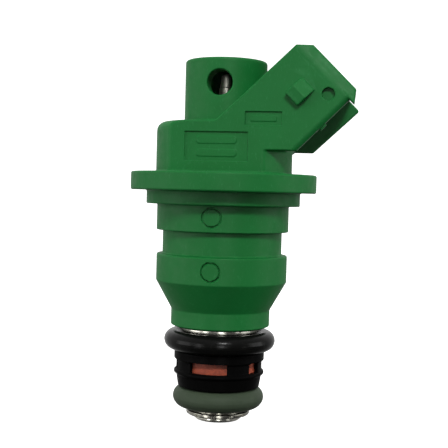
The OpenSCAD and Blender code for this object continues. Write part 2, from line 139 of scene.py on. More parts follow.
class Outline:
    """Signed distance to a closed outline, read from a fine table"""

    def __init__(self, corners, step=0.06, margin=4.0):
        points = outline(corners)
        self.low = points.min(0) - margin
        self.step = step
        count = np.ceil((points.max(0) + margin - self.low) / step).astype(int) + 2
        u = self.low[0] + step * np.arange(count[0])
        v = self.low[1] + step * np.arange(count[1])
        self.table = outline_distance(points, *np.meshgrid(u, v, indexing="ij"))

    def __call__(self, u, v):
        last = np.array(self.table.shape) - 1.001
        u = np.clip((u - self.low[0]) / self.step, 0, last[0])
        v = np.clip((v - self.low[1]) / self.step, 0, last[1])
        i, j = u.astype(int), v.astype(int)
        s, t = u - i, v - j
        near = self.table[i, j] * (1 - s) + self.table[i + 1, j] * s
        far = self.table[i, j + 1] * (1 - s) + self.table[i + 1, j + 1] * s
        return near * (1 - t) + far * t


# ---- Meshes ----

BLOCK = 6
BAND = 3.0
MOST_FACES = 180000
SHARP_EDGE_DEG = 32


def field_grid(field, low, high, voxel):
    """The field on a grid. Blocks far from the surface hold only its sign."""
    blocks = np.ceil((high - low) / (voxel * BLOCK)).astype(int)
    size = voxel * BLOCK
    middles = [low[k] + size * (np.arange(blocks[k]) + 0.5) - voxel / 2 for k in range(3)]
    rough = field(*np.meshgrid(*middles, indexing="ij"))
    near = np.nonzero(np.abs(rough) < size * 0.9 + BAND * voxel)
    shape = [blocks[0], BLOCK, blocks[1], BLOCK, blocks[2], BLOCK]
    grid = np.empty(shape, np.float32)
    grid[:] = (np.sign(rough) * BAND * voxel)[:, None, :, None, :, None]
    offset = voxel * np.arange(BLOCK)
    corners = [low[k] + size * near[k] for k in range(3)]
    x = corners[0][:, None, None, None] + offset[None, :, None, None]
    y = corners[1][:, None, None, None] + offset[None, None, :, None]
    z = corners[2][:, None, None, None] + offset[None, None, None, :]
    values = field(*(c.ravel() for c in np.broadcast_arrays(x, y, z)))
    values = values.reshape(len(near[0]), BLOCK, BLOCK, BLOCK)
    grid[near[0], :, near[1], :, near[2], :] = np.clip(values, -BAND * voxel, BAND * voxel)
    return grid.reshape(blocks * BLOCK)


def slope(field, points, reach):
    """The field's gradient at each point"""
    made = np.empty_like(points)
    for k in range(3):
        ahead, behind = points.copy(), points.copy()
        ahead[:, k] += reach
        behind[:, k] -= reach
        made[:, k] = (field(*ahead.T) - field(*behind.T)) / (2 * reach)
    return made


def settle(field, points, voxel):
    """Moves the points onto the surface and returns them with their normals"""
    for _ in range(3):
        gradient = slope(field, points, 0.01)
        steep = np.maximum((gradient**2).sum(1), 0.25)
        shift = np.clip(field(*points.T) / steep, -voxel / 2, voxel / 2)
        points = points - shift[:, None] * gradient
    gradient = slope(field, points, 0.02)
    return points, gradient / np.maximum(np.linalg.norm(gradient, axis=1), 1e-6)[:, None]


def link(name, mesh):
    piece = bpy.data.objects.new(name, mesh)
    bpy.context.scene.collection.objects.link(piece)
    return piece


def coordinates(mesh):
    co = np.empty(len(mesh.vertices) * 3, np.float32)
    mesh.vertices.foreach_get("co", co)
    return co.reshape(-1, 3).astype(float)


def apply_modifiers(piece):
    evaluated = piece.evaluated_get(bpy.context.evaluated_depsgraph_get())
    mesh = bpy.data.meshes.new_from_object(evaluated)
    piece.modifiers.clear()
    piece.data = mesh


def solid(name, field, low, high, voxel):
    """A piece from a distance field, with normals from the field itself"""
    voxel = voxel if FINE else voxel * 1.6
    low = np.array(low, float) - 4 * voxel
    high = np.array(high, float) + 4 * voxel
    grid = openvdb.FloatGrid(BAND * voxel)
    grid.copyFromArray(field_grid(field, low, high, voxel))
    points, quads = grid.convertToQuads(0.0)
    points = points.astype(float) * voxel + low
    mesh = bpy.data.meshes.new(name)
    mesh.from_pydata(points.tolist(), [], quads[:, ::-1].tolist())
    piece = link(name, mesh)
    if 2 * len(quads) > MOST_FACES:
        thin = piece.modifiers.new("thin", "DECIMATE")
        thin.ratio = MOST_FACES / (2 * len(quads))
        apply_modifiers(piece)
    points, normals = settle(field, coordinates(piece.data), voxel)
    piece.data.vertices.foreach_set("co", (points * MM).astype(np.float32).ravel())
    piece.data.update()
    outward(piece.data, normals)
    piece.data.shade_smooth()
    piece.data.normals_split_custom_set(corner_normals(piece.data, field, normals))
    return piece


def corner_normals(mesh, field, normals):
    """A normal for each face corner. On a long face it's read a little way in from the corner,
    so that a rounded edge doesn't shade the flat beside it."""
    vertex = np.empty(len(mesh.loops), np.int32)
    mesh.loops.foreach_get("vertex_index", vertex)
    count = np.empty(len(mesh.polygons), np.int32)
    mesh.polygons.foreach_get("loop_total", count)
    middle = np.empty(len(mesh.polygons) * 3, np.float32)
    mesh.polygons.foreach_get("center", middle)
    middle = np.repeat(middle.reshape(-1, 3), count, axis=0) / MM
    corner = coordinates(mesh)[vertex] / MM
    inward = middle - corner
    far = np.linalg.norm(inward, axis=1) > 0.3
    made = normals[vertex]
    gradient = slope(field, corner[far] + 0.2 * inward[far], 0.02)
    made[far] = gradient / np.maximum(np.linalg.norm(gradient, axis=1), 1e-6)[:, None]
    return made.tolist()


def outward(mesh, normals):
    """Turns every face of a mesh round if they point inwards"""
    faces = np.empty(len(mesh.polygons) * 3)
    mesh.polygons.foreach_get("normal", faces)
    first = np.array([p.vertices[0] for p in mesh.polygons])
    if (faces.reshape(-1, 3) * normals[first]).sum() < 0:
        mesh.flip_normals()


def turned(name, corners, segments=192):
    """A lathed ring from a closed outline of (r, z, radius) corners, clear of the axis"""
    return revolved(name, outline(corners, 6), segments)


def revolved(name, profile, segments, wobble=None):
    """A lathed ring. wobble(angle, r, z) gives how far each point is moved out and up."""
    angles = np.linspace(0, 2 * math.pi, segments, endpoint=False)
    angle, r = np.meshgrid(angles, profile[:, 0], indexing="ij")
    z = np.broadcast_to(profile[:, 1], r.shape)
    if wobble:
        out, up = wobble(angle, r, z)
        r, z = r + out, z + up
    points = np.stack((r * np.cos(angle), r * np.sin(angle), z), -1).reshape(-1, 3) * MM
    count = len(profile)
    faces = []
    for i in range(segments):
        here, there = i * count, (i + 1) % segments * count
        for j in range(count):
            k = (j + 1) % count
            faces.append((here + j, there + j, there + k, here + k))
    mesh = bpy.data.meshes.new(name)
    mesh.from_pydata(points.tolist(), [], faces)
    mesh.update()
    if signed_volume(mesh) < 0:
        mesh.flip_normals()
    mesh.shade_smooth()
    mesh.set_sharp_from_angle(angle=math.radians(SHARP_EDGE_DEG))
    return link(name, mesh)


def signed_volume(mesh):
    co = coordinates(mesh)
    faces = np.array([p.vertices[:3] for p in mesh.polygons])
    a, b, c = co[faces[:, 0]], co[faces[:, 1]], co[faces[:, 2]]
    return float((a * np.cross(b, c)).sum())


# ---- Materials ----


class Finish:
    """One procedural material. Places and sizes are millimetres in the piece's own space."""

    def __init__(self, name, **sockets):
        self.material = bpy.data.materials.new(name)
        self.material.use_nodes = True
        self.nodes = self.material.node_tree.nodes
        self.links = self.material.node_tree.links
        self.shader = self.nodes["Principled BSDF"]
        for socket, value in sockets.items():
            self.shader.inputs[socket.replace("_", " ")].default_value = value
        spot = self.nodes.new("ShaderNodeTexCoord").outputs["Object"]
        self.place = self.make("ShaderNodeVectorMath", {0: spot, "Scale": 1000}, operation="SCALE")

    def make(self, kind, inputs, output=0, **settings):
        """Adds a node and returns one of its outputs. Inputs are values or other outputs."""
        node = self.nodes.new(kind)
        for key, value in settings.items():
            setattr(node, key, value)
        for key, value in inputs.items():
            if isinstance(value, bpy.types.NodeSocket):
                self.links.new(value, node.inputs[key])
            else:
                node.inputs[key].default_value = value
        return node.outputs[output]

    def math(self, operation, a, b=0.0):
        return self.make("ShaderNodeMath", {0: a, 1: b}, operation=operation)

    def noise(self, size, detail=3.0, stretch=(1, 1, 1), place=None):
        """Noise from 0 to 1 whose features are about that size"""
        spot = self.make(
            "ShaderNodeVectorMath",
            {0: place or self.place, 1: [s / size for s in stretch]},
            operation="MULTIPLY",
        )
        return self.make("ShaderNodeTexNoise", {"Vector": spot, "Scale": 1, "Detail": detail})

    def lathe_place(self):
        """The place as (distance from the axis, 0, height), for marks that run round"""
        flat = self.make(
            "ShaderNodeVectorMath", {0: self.place, 1: (1, 1, 0)}, operation="MULTIPLY"
        )
        r = self.make("ShaderNodeVectorMath", {0: flat}, output="Value", operation="LENGTH")
        z = self.make("ShaderNodeSeparateXYZ", {0: self.place}, output=2)
        return self.make("ShaderNodeCombineXYZ", {0: r, 2: z})

    def span(self, value, low, high, start, end):
        """Maps low..high onto start..end, held at both ends"""
        return self.make("ShaderNodeMapRange", {0: value, 1: low, 2: high, 3: start, 4: end})

    def blend(self, share, a, b):
        """Mixes two colours or colour outputs"""
        inputs = {0: share, 6: a, 7: b}
        return self.make("ShaderNodeMix", inputs, output=2, data_type="RGBA")

    def edges(self, low, high):
        """0 on flats to 1 on worn outer edges"""
        pointed = self.make("ShaderNodeNewGeometry", {}, output="Pointiness")
        return self.span(pointed, low, high, 0, 1)

    def bump(self, layers):
        """Bumps from (height 0 to 1, depth in millimetres) layers"""
        total = None
        for height, depth in layers:
            layer = self.math("MULTIPLY", height, depth)
            total = layer if total is None else self.math("ADD", total, layer)
        inputs = {"Height": total, "Distance": MM, "Strength": 1.0}
        self.links.new(self.make("ShaderNodeBump", inputs), self.shader.inputs["Normal"])

    def use(self, socket, output):
        self.links.new(output, self.shader.inputs[socket])

    def paint(self, *pieces):
        for piece in pieces:
            piece.data.materials.clear()
            piece.data.materials.append(self.material)


def rgb(red, green, blue):
    return (red, green, blue, 1.0)


def green_nylon():
    """Glass-filled nylon: fine pale fibre specks, a little flow mottling, rubbed edges"""
    f = Finish("green_nylon", Specular_IOR_Level=0.14)
    mottle = f.noise(5.0, 2)
    fibres = f.noise(0.22, 2, stretch=(1, 1, 0.35))
    base = f.blend(mottle, rgb(0.0035, 0.108, 0.0185), rgb(0.0048, 0.134, 0.0252))
    base = f.blend(f.span(fibres, 0.6, 0.8, 0, 0.22), base, rgb(0.045, 0.24, 0.085))
    worn = f.math("MULTIPLY", f.edges(0.56, 0.68), f.span(f.noise(0.8), 0.35, 0.65, 0.02, 0.15))
    f.use("Base Color", f.blend(worn, base, rgb(0.05, 0.25, 0.09)))
    f.use("Roughness", f.span(f.noise(1.3, 4), 0.3, 0.7, 0.46, 0.6))
    y = f.make("ShaderNodeSeparateXYZ", {0: f.place}, output=1)
    seam = f.span(f.math("ABSOLUTE", y), 0.02, 0.09, 1, 0)
    f.bump([(f.noise(0.09, 2), 0.005), (fibres, 0.005), (f.noise(2.5, 1), 0.01), (seam, 0.012)])
    return f


def rubber(name, dark, light, rough):
    """Moulded rubber with a satin skin, a few dust specks and the line where it was trimmed"""
    f = Finish(name, Specular_IOR_Level=0.08)
    base = f.blend(f.noise(3.0, 3), dark, light)
    dust = f.span(f.noise(0.16, 3), 0.68, 0.78, 0, 0.25)
    f.use("Base Color", f.blend(dust, base, rgb(0.11, 0.12, 0.1)))
    f.use("Roughness", f.span(f.noise(1.0, 3), 0.3, 0.7, rough - 0.07, rough + 0.08))
    f.bump([(f.noise(0.12, 3), 0.008), (f.noise(1.6, 1), 0.02)])
    return f


def moulded_black(name, level=0.0015):
    """Hard black plastic with fine mould grain and scuffed edges"""
    f = Finish(name, Specular_IOR_Level=0.012)
    base = f.blend(f.noise(1.5, 3), rgb(level, level, level), rgb(*[level * 1.6] * 3))
    scuffs = f.math("MULTIPLY", f.edges(0.53, 0.62), f.span(f.noise(0.4), 0.45, 0.65, 0, 0.5))
    f.use("Base Color", f.blend(scuffs, base, rgb(0.01, 0.01, 0.01)))
    f.use("Roughness", f.span(f.noise(0.7, 3), 0.3, 0.7, 0.32, 0.46))
    f.bump([(f.noise(0.1, 2), 0.006), (f.noise(1.2, 1), 0.01)])
    return f


def turned_metal(name, dark, light, rough, oil=0.0):
    """Turned or ground metal: fine rings round the axis, faint stains and perhaps a film of oil"""
    f = Finish(name, Metallic=1.0, Coat_Weight=oil, Coat_Roughness=0.1)
    rings = f.noise(0.05, 3, place=f.lathe_place())
    stains = f.noise(2.2, 4)
    base = f.blend(f.span(stains, 0.35, 0.65, 0, 1), dark, light)
    f.use("Base Color", base)
    roughness = f.math("ADD", f.span(rings, 0.3, 0.7, rough - 0.05, rough + 0.05),
                       f.span(stains, 0.55, 0.75, 0, 0.06))
    f.use("Roughness", roughness)
    f.bump([(rings, 0.0004)])
    return f


def plain_metal(name, dark, light, rough):
    """Stamped or drawn metal with fine scratches"""
    f = Finish(name, Metallic=1.0)
    scratches = f.noise(0.08, 3)
    base = f.blend(f.noise(1.2, 4), dark, light)
    f.use("Base Color", base)
    f.use("Roughness", f.span(scratches, 0.3, 0.7, rough - 0.06, rough + 0.08))
    f.bump([(scratches, 0.002)])
    return f


def woven_mesh():
    """Orange-red filter cloth: threads over and under each other, with tired darker patches"""
    f = Finish("mesh_fabric", Specular_IOR_Level=0.2)
    patches = f.noise(1.6, 3)
    grime = f.span(f.noise(0.5, 3), 0.4, 0.7, 0, 0.5)
    base = f.blend(patches, rgb(0.22, 0.035, 0.018), rgb(0.4, 0.085, 0.038))
    f.use("Base Color", f.blend(grime, base, rgb(0.12, 0.03, 0.02)))
    f.use("Roughness", f.span(patches, 0.3, 0.7, 0.45, 0.6))
    f.bump([(f.noise(0.06, 2), 0.006)])
    return f


def enamelled_wire():
    f = Finish("copper_wire", Metallic=1.0, Coat_Weight=0.6, Coat_Roughness=0.15)
    base = f.blend(f.noise(0.9, 3), rgb(0.42, 0.14, 0.05), rgb(0.6, 0.22, 0.08))
    f.use("Base Color", base)
    f.use("Roughness", f.span(f.noise(0.3), 0.3, 0.7, 0.25, 0.38))
    f.bump([(f.noise(0.2, 2), 0.004)])
    return f


# ---- Overmould ----

FLAT_Y = 8.5
BOTTOM = 6.8 * ROOT2
REAR_BOTTOM = 7.1 * ROOT2
RIM = 27.4
BAND_START = 25.5
BAND_TAPER = 0.27
BOX_LOW = -2.9
FRONT_CHEEK = -4.3
LIP = -5.35
CHEEK_Y = 6.8
LIP_Y = 6.3
TAB = (18.9, 20.2)
CAVITY_B = 2.45
MOUTH_HALF_Y = 7.1
MOUTH_HALF_B = 4.1
MOUTH_CORNER = 1.0
MOUTH_FLOOR = 16.4
NUB_B = (0.6, 3.4)
EJECTOR_MARK = (23.73, -1.35)
WINDOW_Z = 17.8
WINDOW_R = 2.1
TERMINAL_X = 5.6
TERMINAL_Y = 2.5
BLADE_TIP = 23.4

# Sunk panels in the front flat: centre x, centre z, width, height
LABEL = (-0.04, 7.28, 10.3, 4.7)
PLATE = (7.52, 11.83, 5.9, 2.2)
PANEL_DEPTH = 0.28

# Round moulding marks on the lands: height, radius of the land
LAND_MARKS = ((-4.24, 11.17), (-12.95, 11.08))

STEPS = Outline([
    (0, -22.86, 0), (7.65, -22.86, 0.1), (8.38, -22.54, 0.15), (8.38, -19.87, 0.4),
    (11.08, -15.06, 0.3), (11.08, -10.56, 0.28), (10.1, -10.56, 0.2), (10.1, -6.61, 0.2),
    (11.17, -6.61, 0.15), (11.17, -2.24, 0.2), (13.0, -2.24, 0.15), (13.0, 0, 0.25),
    (15.7, 0, 0.3), (15.7, 3.08, 0.3), (0, 3.08, 0),
])
SHOULDER = Outline([(0, 1, 0), (11.5, 1, 0), (11.5, 11.48, 1.5), (0, 11.48, 0)])
STUB = Outline([
    (0, 1, 0), (6.9, 1, 0), (6.9, 21.9, 0.45), (3.2, 21.9, 0.12), (2.75, 21.5, 0.15),
    (0.75, 21.5, 0.1), (0.7, 21.72, 0.08), (0, 21.72, 0),
])
BOX = Outline([
    (BOTTOM - BOX_LOW, BOX_LOW, 0.1), (RIM, BOX_LOW, 0.25), (RIM, 6.0, 0.2),
    (25.48, 7.92, 0.2), (7.5, 8.297, 0), (BOTTOM / 2, BOTTOM / 2, 0),
])
FRONT_WALL = Outline([
    (BOTTOM - FRONT_CHEEK, FRONT_CHEEK, 0.15), (BAND_START + 0.3, FRONT_CHEEK, 0),
    (BAND_START + 0.3, 0, 0), (BOTTOM, 0, 0),
])
REAR_WALL = Outline([
    (15.22, -5.19, 0.3), (26.0, -5.49, 0.35), (26.0, 0, 0), (REAR_BOTTOM, 0, 0),
])
RIM_LIP = Outline([(BAND_START, 0, 0), (RIM, 0, 0), (RIM, -3.8, 0.25), (BAND_START, LIP, 0)])
NUB = Outline([
    (19.0, 7, 0), (19.0, 9.6, 0.1), (20.65, 9.95, 0.1), (22.55, 8.85, 0.1), (22.55, 7, 0),
])
INNER = Outline([
    (0, -30, 0), (6.65, -30, 0), (6.65, -16.9, 0), (9.15, -16.9, 0), (9.15, 0.9, 0),
    (3.25, 0.9, 0), (3.25, 20.6, 0.5), (0, 20.6, 0),
])


def terminal_field(side, grow):
    """A terminal: a blade with a pointed tip along the connector, and a leg down to the coil"""
    half = 1.4 + grow
    bend = TERMINAL_X + ROOT2 * CAVITY_B
    start = (TERMINAL_X + bend) / ROOT2 - half
    tip = BLADE_TIP + grow
    blade = Outline([
        (start, CAVITY_B - half, 0), (tip - 0.9, CAVITY_B - half, 0.2),
        (tip, CAVITY_B - half / 2, 0.15), (tip, CAVITY_B + half / 2, 0.15),
        (tip - 0.9, CAVITY_B + half, 0.2), (start, CAVITY_B + half, 0.3),
    ], margin=2.0)

    def field(x, y, z):
        a, b = (x + z) / ROOT2, (z - x) / ROOT2
        leg_width = between(x, TERMINAL_X - half / 2, TERMINAL_X + half / 2)
        leg = both(leg_width, between(z, -0.9 - grow, bend))
        thick = np.abs(y - side * TERMINAL_Y) - 0.4 - grow
        point = (thick + 0.5 * np.maximum(a - (tip - 0.8), 0)) if grow == 0 else thick
        return both(either(blade(a, b), leg, 0.2), point, 0.1 if grow == 0 else 0)

    return field


TERMINAL_SLOTS = [terminal_field(side, 0.05) for side in (-1, 1)]


def sunk_panel(x, y, z, x0, z0, width, height, raised):
    """What is cut out for a shallow panel in the front flat, apart from its raised bars"""
    frame_side = both(np.abs(x - x0) - width / 2, np.abs(z - z0) - height / 2, 0.08)
    cut = both(frame_side, y + FLAT_Y - PANEL_DEPTH, 0.03)
    return without(cut, both(raised, -(y + FLAT_Y - 0.19), 0.08), 0.08)


def flat_marks(x, y, z):
    """The sunk panels: two plain bars stand in the label, and one in the plate"""
    bars = both(np.abs(x - LABEL[0]) - 3.3, np.abs(np.abs(z - LABEL[1]) - 1.05) - 0.6, 0.55)
    bar = both(np.abs(x - PLATE[0]) - 2.1, np.abs(z - PLATE[1]) - 0.45, 0.2)
    return sunk_panel(x, y, z, *LABEL, bars), sunk_panel(x, y, z, *PLATE, bar)


def plug_mouth(a, b, y):
    """The connector's mouth, with round corners, as far down as its floor"""
    across = np.abs(y) - MOUTH_HALF_Y + MOUTH_CORNER
    up = np.abs(b - CAVITY_B) - MOUTH_HALF_B + MOUTH_CORNER
    mouth = np.hypot(np.maximum(across, 0), np.maximum(up, 0)) - MOUTH_CORNER
    mouth = mouth + np.minimum(np.maximum(across, up), 0)
    return both(mouth, MOUTH_FLOOR - a, 0.3)


def connector(y, a, b):
    """The connector's outside, before its flat sides are cut"""
    box = BOX(a, b)
    bevel = (-y - FLAT_Y - b + FRONT_CHEEK + 0.55) / ROOT2
    front = both(both(FRONT_WALL(a, b), y + CHEEK_Y, 0.15), bevel, 0.12)
    rear = both(REAR_WALL(a, b), CHEEK_Y - y, 0.2)
    lip = both(RIM_LIP(a, b), y + LIP_Y, 0.15)
    tab = both(between(a, *TAB), both(between(y, -7.5, -6.8), -4.65 - b, 0.15), 0.15)
    return either(either(either(either(box, front), rear), lip), both(tab, b))


def overmould(x, y, z):
    a, b = (x + z) / ROOT2, (z - x) / ROOT2
    r = np.hypot(x, y)
    side = np.abs(y) - FLAT_Y
    taper = (side + BAND_TAPER * (a - BAND_START)) / math.hypot(1, BAND_TAPER)
    upper = either(SHOULDER(r, z), connector(y, a, b), 0.3)
    upper = both(upper, both(side, taper, 0.1), 0.28)
    nub = both(NUB(a, np.abs(y)), between(b, *NUB_B), 0.12)
    upper = either(upper, nub, 0.08)
    body = either(either(STEPS(r, z), upper, 0.4), STUB(r, z), 0.4)
    body = without(body, plug_mouth(a, b, y), 0.22)
    disc = np.hypot(a - EJECTOR_MARK[0], b - EJECTOR_MARK[1]) - 1.03
    body = without(body, both(disc, y + FLAT_Y - 0.8), 0.05)
    for panel in flat_marks(x, y, z):
        body = without(body, panel, 0.05)
    for height, land in LAND_MARKS:
        ring = np.abs(np.hypot(x, z - height) - 1.49) - 0.11
        body = without(body, both(ring, y + land - 0.27), 0.04)
    body = without(body, both(np.hypot(x, z - WINDOW_Z) - WINDOW_R, y), 0.22)
    body = without(body, INNER(r, z))
    for slot in TERMINAL_SLOTS:
        body = without(body, slot(x, y, z))
    return body


# ---- Filter cage, retaining ring ----

CAGE = Outline([
    (4.65, -32.95, 0.1), (6.92, -32.95, 0.15), (7.24, -31.0, 0.1), (7.42, -30.82, 0.1),
    (7.65, -30.7, 0.12), (7.65, -30.32, 0.12), (7.3, -30.0, 0.1), (7.28, -28.5, 0.1),
    (7.65, -28.35, 0.12), (7.65, -26.85, 0.2), (4.65, -26.85, 0.1), (4.65, -27.5, 0.1),
    (6.68, -27.5, 0.1), (6.68, -32.15, 0.1), (4.65, -32.15, 0.1),
], step=0.04, margin=2.0)
CAGE_WINDOWS = ((265, 26), (85, 26), (333, 9.5), (197, 9.5), (153, 9.5), (17, 9.5))
RING = Outline([
    (4.15, -37.78, 0.06), (5.19, -37.78, 0.08), (5.39, -37.58, 0.08), (5.39, -37.15, 0.06),
    (5.24, -37.0, 0.05), (4.15, -37.0, 0.06),
], step=0.03, margin=1.5)


def filter_cage(x, y, z):
    cage = CAGE(np.hypot(x, y), z)
    height = between(z, -30.12, -28.3)
    for turn, half in CAGE_WINDOWS:
        turn, half = math.radians(turn), math.radians(half)
        out = x * math.cos(turn) + y * math.sin(turn)
        across = np.abs(y * math.cos(turn) - x * math.sin(turn))
        wedge = both(across * math.cos(half) - out * math.sin(half), 3 - out)
        cage = without(cage, both(wedge, height, 0.15), 0.07)
    return cage


def retaining_ring(x, y, z):
    r = np.hypot(x, y)
    teeth = 12
    angle = (np.arctan2(y, x) * teeth / (2 * math.pi) + 0.5) % 1 - 0.5
    across = np.abs(angle) * 2 * math.pi / teeth * r - 0.3
    notch = both(both(across, 5.04 - r, 0.08), z + 37.28, 0.05)
    return without(RING(r, z), notch, 0.04)


# ---- Pieces ----


def ride(piece, body, slot, *nodes):
    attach(piece, body)
    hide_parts(*nodes)


def ring_wobble(seed, size):
    """Slight unevenness of a rubber ring: slow waves round it"""
    rng = np.random.default_rng(seed)
    phases = rng.uniform(0, 2 * math.pi, 8)

    def wobble(angle, r, z):
        out = sum(np.sin(n * angle + phases[n]) / n for n in (2, 3, 5, 7)) * size
        up = sum(np.cos(n * angle + phases[n]) / n for n in (2, 3, 4, 6)) * size
        return out, up

    return wobble


def ring_profile(centre, height, section, flash, crease):
    """Round section with a thin moulding line inside and out, and a crease low on the outside"""
    turn = np.linspace(0, 2 * math.pi, 96, endpoint=False)
    size = section - flash + flash * np.exp(-((np.abs(np.sin(turn)) / 0.03) ** 2))
    size = size - crease * np.exp(-(((turn - 5.65) / 0.09) ** 2))
    return np.stack((centre + size * np.cos(turn), height + size * np.sin(turn)), -1)


def build():
    low, high = low_high("overmould_body")
    body = solid("overmould", overmould, low, high, 0.165)
    ride(body, "injector_body", "green_nylon", "overmould_body")
    green_nylon().paint(body)

    tinned = plain_metal("tinned_terminal", rgb(0.55, 0.53, 0.48), rgb(0.72, 0.7, 0.65), 0.3)
    for side, name in ((-1, "terminal_front"), (1, "terminal_rear")):
        low, high = low_high(name)
        blade = solid(name + "_blade", terminal_field(side, 0.0), low, high, 0.09)
        ride(blade, "injector_body", "tinned_terminal", name)
        tinned.paint(blade)

    core_metal = turned_metal(
        "core_steel", rgb(0.62, 0.6, 0.52), rgb(0.76, 0.74, 0.66), 0.5, oil=0.9
    )
    core = turned("core_tube_turned", [
        (1.9, -15.5, 0.05), (2.9, -15.5, 0.1), (3.2, -15.2, 0.1), (3.2, 3.4, 0.05),
        (2.85, 3.4, 0.05), (2.85, 4.0, 0.05), (3.2, 4.0, 0.05), (3.2, 5.4, 0.05),
        (2.85, 5.4, 0.05), (2.85, 6.0, 0.05), (3.2, 6.0, 0.05), (3.2, 14.3, 0.1),
        (2.9, 14.6, 0.1), (2.1, 14.6, 0.05), (1.9, 14.4, 0.05),
    ])
    ride(core, "injector_body", "core_steel", "core_tube")
    core_metal.paint(core)
    plug = turned("end_plug_turned", [
        (0.01, 11.6, 0), (1.65, 11.6, 0.05), (1.85, 11.8, 0.05), (1.85, 14.65, 0.02),
        (2.2, 14.65, 0.05), (2.2, 15.15, 0.05), (2.05, 15.3, 0.05), (1.2, 15.3, 0.02),
        (1.2, 17.4, 0.05), (1.06, 17.54, 0.05), (0.92, 19.1, 0.3), (0.78, 19.55, 0.3),
        (0.45, 19.86, 0.2), (0.01, 19.98, 0),
    ])
    ride(plug, "injector_body", "core_steel", "core_end_plug")
    core_metal.paint(plug)

    body_metal = turned_metal("body_steel", rgb(0.5, 0.5, 0.43), rgb(0.66, 0.65, 0.57), 0.22)
    barrel = turned("valve_body_turned", [
        (3.3, -38.65, 0.08), (3.75, -38.65, 0.1), (4.1, -38.3, 0.1), (4.1, -32.9, 0.1),
        (4.6, -32.5, 0.1), (4.6, -26.85, 0.15), (6.12, -26.45, 0.15), (6.12, -23.75, 0.12),
        (6.4, -23.75, 0.08), (6.6, -23.55, 0.08), (6.6, -15.9, 0.08), (3.7, -15.9, 0.05),
        (3.7, -20.6, 0.05), (3.3, -20.6, 0.05), (3.3, -22.2, 0.05), (1.8, -22.2, 0.05),
        (1.8, -33.5, 0.05), (3.3, -33.5, 0.05),
    ], 256)
    ride(barrel, "injector_body", "body_steel", "valve_body")
    body_metal.paint(barrel)

    low, high = low_high("retaining_ring")
    ring = solid("retaining_ring_notched", retaining_ring, low, high, 0.06)
    ride(ring, "injector_body", "ring_steel", "retaining_ring")
    turned_metal("ring_steel", rgb(0.21, 0.21, 0.175), rgb(0.32, 0.31, 0.27), 0.2).paint(ring)

    low, high = low_high("filter_cage")
    cage = solid("filter_cage_moulded", filter_cage, low, high, 0.11)
    ride(cage, "injector_body", "cage_plastic", "filter_cage")
    moulded_black("cage_plastic").paint(cage)

    mesh = filter_sleeve()
    ride(mesh, "injector_body", "mesh_fabric", "filter_mesh")
    woven_mesh().paint(mesh)

    upper = revolved(
        "upper_o_ring_rubber", ring_profile(7.81, -25.1, 1.635, 0.02, 0), 288,
        ring_wobble(3, 0.006),
    )
    ride(upper, "injector_body", "black_rubber", "upper_o_ring")
    black = rubber("black_rubber", rgb(0.0025, 0.0026, 0.0025), rgb(0.0045, 0.0046, 0.0042), 0.2)
    black.paint(upper)
    lower = revolved(
        "lower_o_ring_rubber", ring_profile(5.99, -34.78, 1.755, 0.02, 0.05), 288,
        ring_wobble(5, 0.006),
    )
    ride(lower, "injector_body", "green_rubber", "lower_o_ring")
    grey_green = rubber("green_rubber", rgb(0.033, 0.048, 0.03), rgb(0.044, 0.062, 0.038), 0.5)
    grey_green.paint(lower)

    inner_finishes()


def filter_sleeve():
    """Woven cloth sleeve: the threads of a plain weave pushed out and in"""
    radius, wall, bottom, top = 6.59, 0.05, -32.08, -27.57
    threads, rows = 132, 15
    steps = 6 if FINE else 3
    profile_z = np.linspace(bottom, top, rows * steps + 1)
    outer = np.stack((np.full_like(profile_z, radius), profile_z), -1)
    inner = outer[::-steps] - (wall, 0)
    profile = np.concatenate((outer, inner))

    def weave(angle, r, z):
        warp = np.cos(angle * threads)
        weft = np.cos((z - bottom) / (top - bottom) * rows * 2 * math.pi)
        lift = np.maximum(np.abs(warp), np.abs(weft)) * 0.5 + 0.5 * warp * weft
        return (lift - 0.5) * 0.07 * np.where(r > radius - wall / 2, 1, 0.3), 0 * z

    return revolved("filter_mesh_woven", profile, threads * steps, weave)


def inner_finishes():
    """The sealed inner CAD pieces keep their shape and get their own materials"""
    steel = turned_metal("inner_steel", rgb(0.5, 0.49, 0.46), rgb(0.64, 0.63, 0.6), 0.28)
    housing = turned_metal("housing_steel", rgb(0.42, 0.42, 0.4), rgb(0.55, 0.55, 0.53), 0.35)
    polished = turned_metal("ball_steel", rgb(0.66, 0.66, 0.65), rgb(0.74, 0.74, 0.73), 0.12)
    bronze = turned_metal("bronze", rgb(0.5, 0.3, 0.12), rgb(0.62, 0.4, 0.18), 0.32)
    spring = plain_metal("spring_wire", rgb(0.5, 0.5, 0.5), rgb(0.64, 0.64, 0.66), 0.25)
    finishes = {
        "adjusting_sleeve": steel, "preload_spring": spring, "armature": steel,
        "needle": polished, "valve_ball": polished, "armature_guide": bronze,
        "nonmagnetic_shell": steel, "coil_bobbin": moulded_black("bobbin_plastic", 0.02),
        "coil_winding": enamelled_wire(), "coil_housing": housing, "flux_washer": housing,
        "lift_spacer": steel, "needle_guide": steel, "valve_seat": steel,
        "orifice_disc": polished, "seat_retainer": steel,
    }
    seal = rubber("inner_seal", rgb(0.008, 0.008, 0.008), rgb(0.014, 0.014, 0.014), 0.5)
    finishes["upper_bobbin_seal"] = seal
    finishes["lower_bobbin_seal"] = seal
    for node, finish in finishes.items():
        finish.paint(frame["nodes"][node])


# ---- Stage, light and camera ----


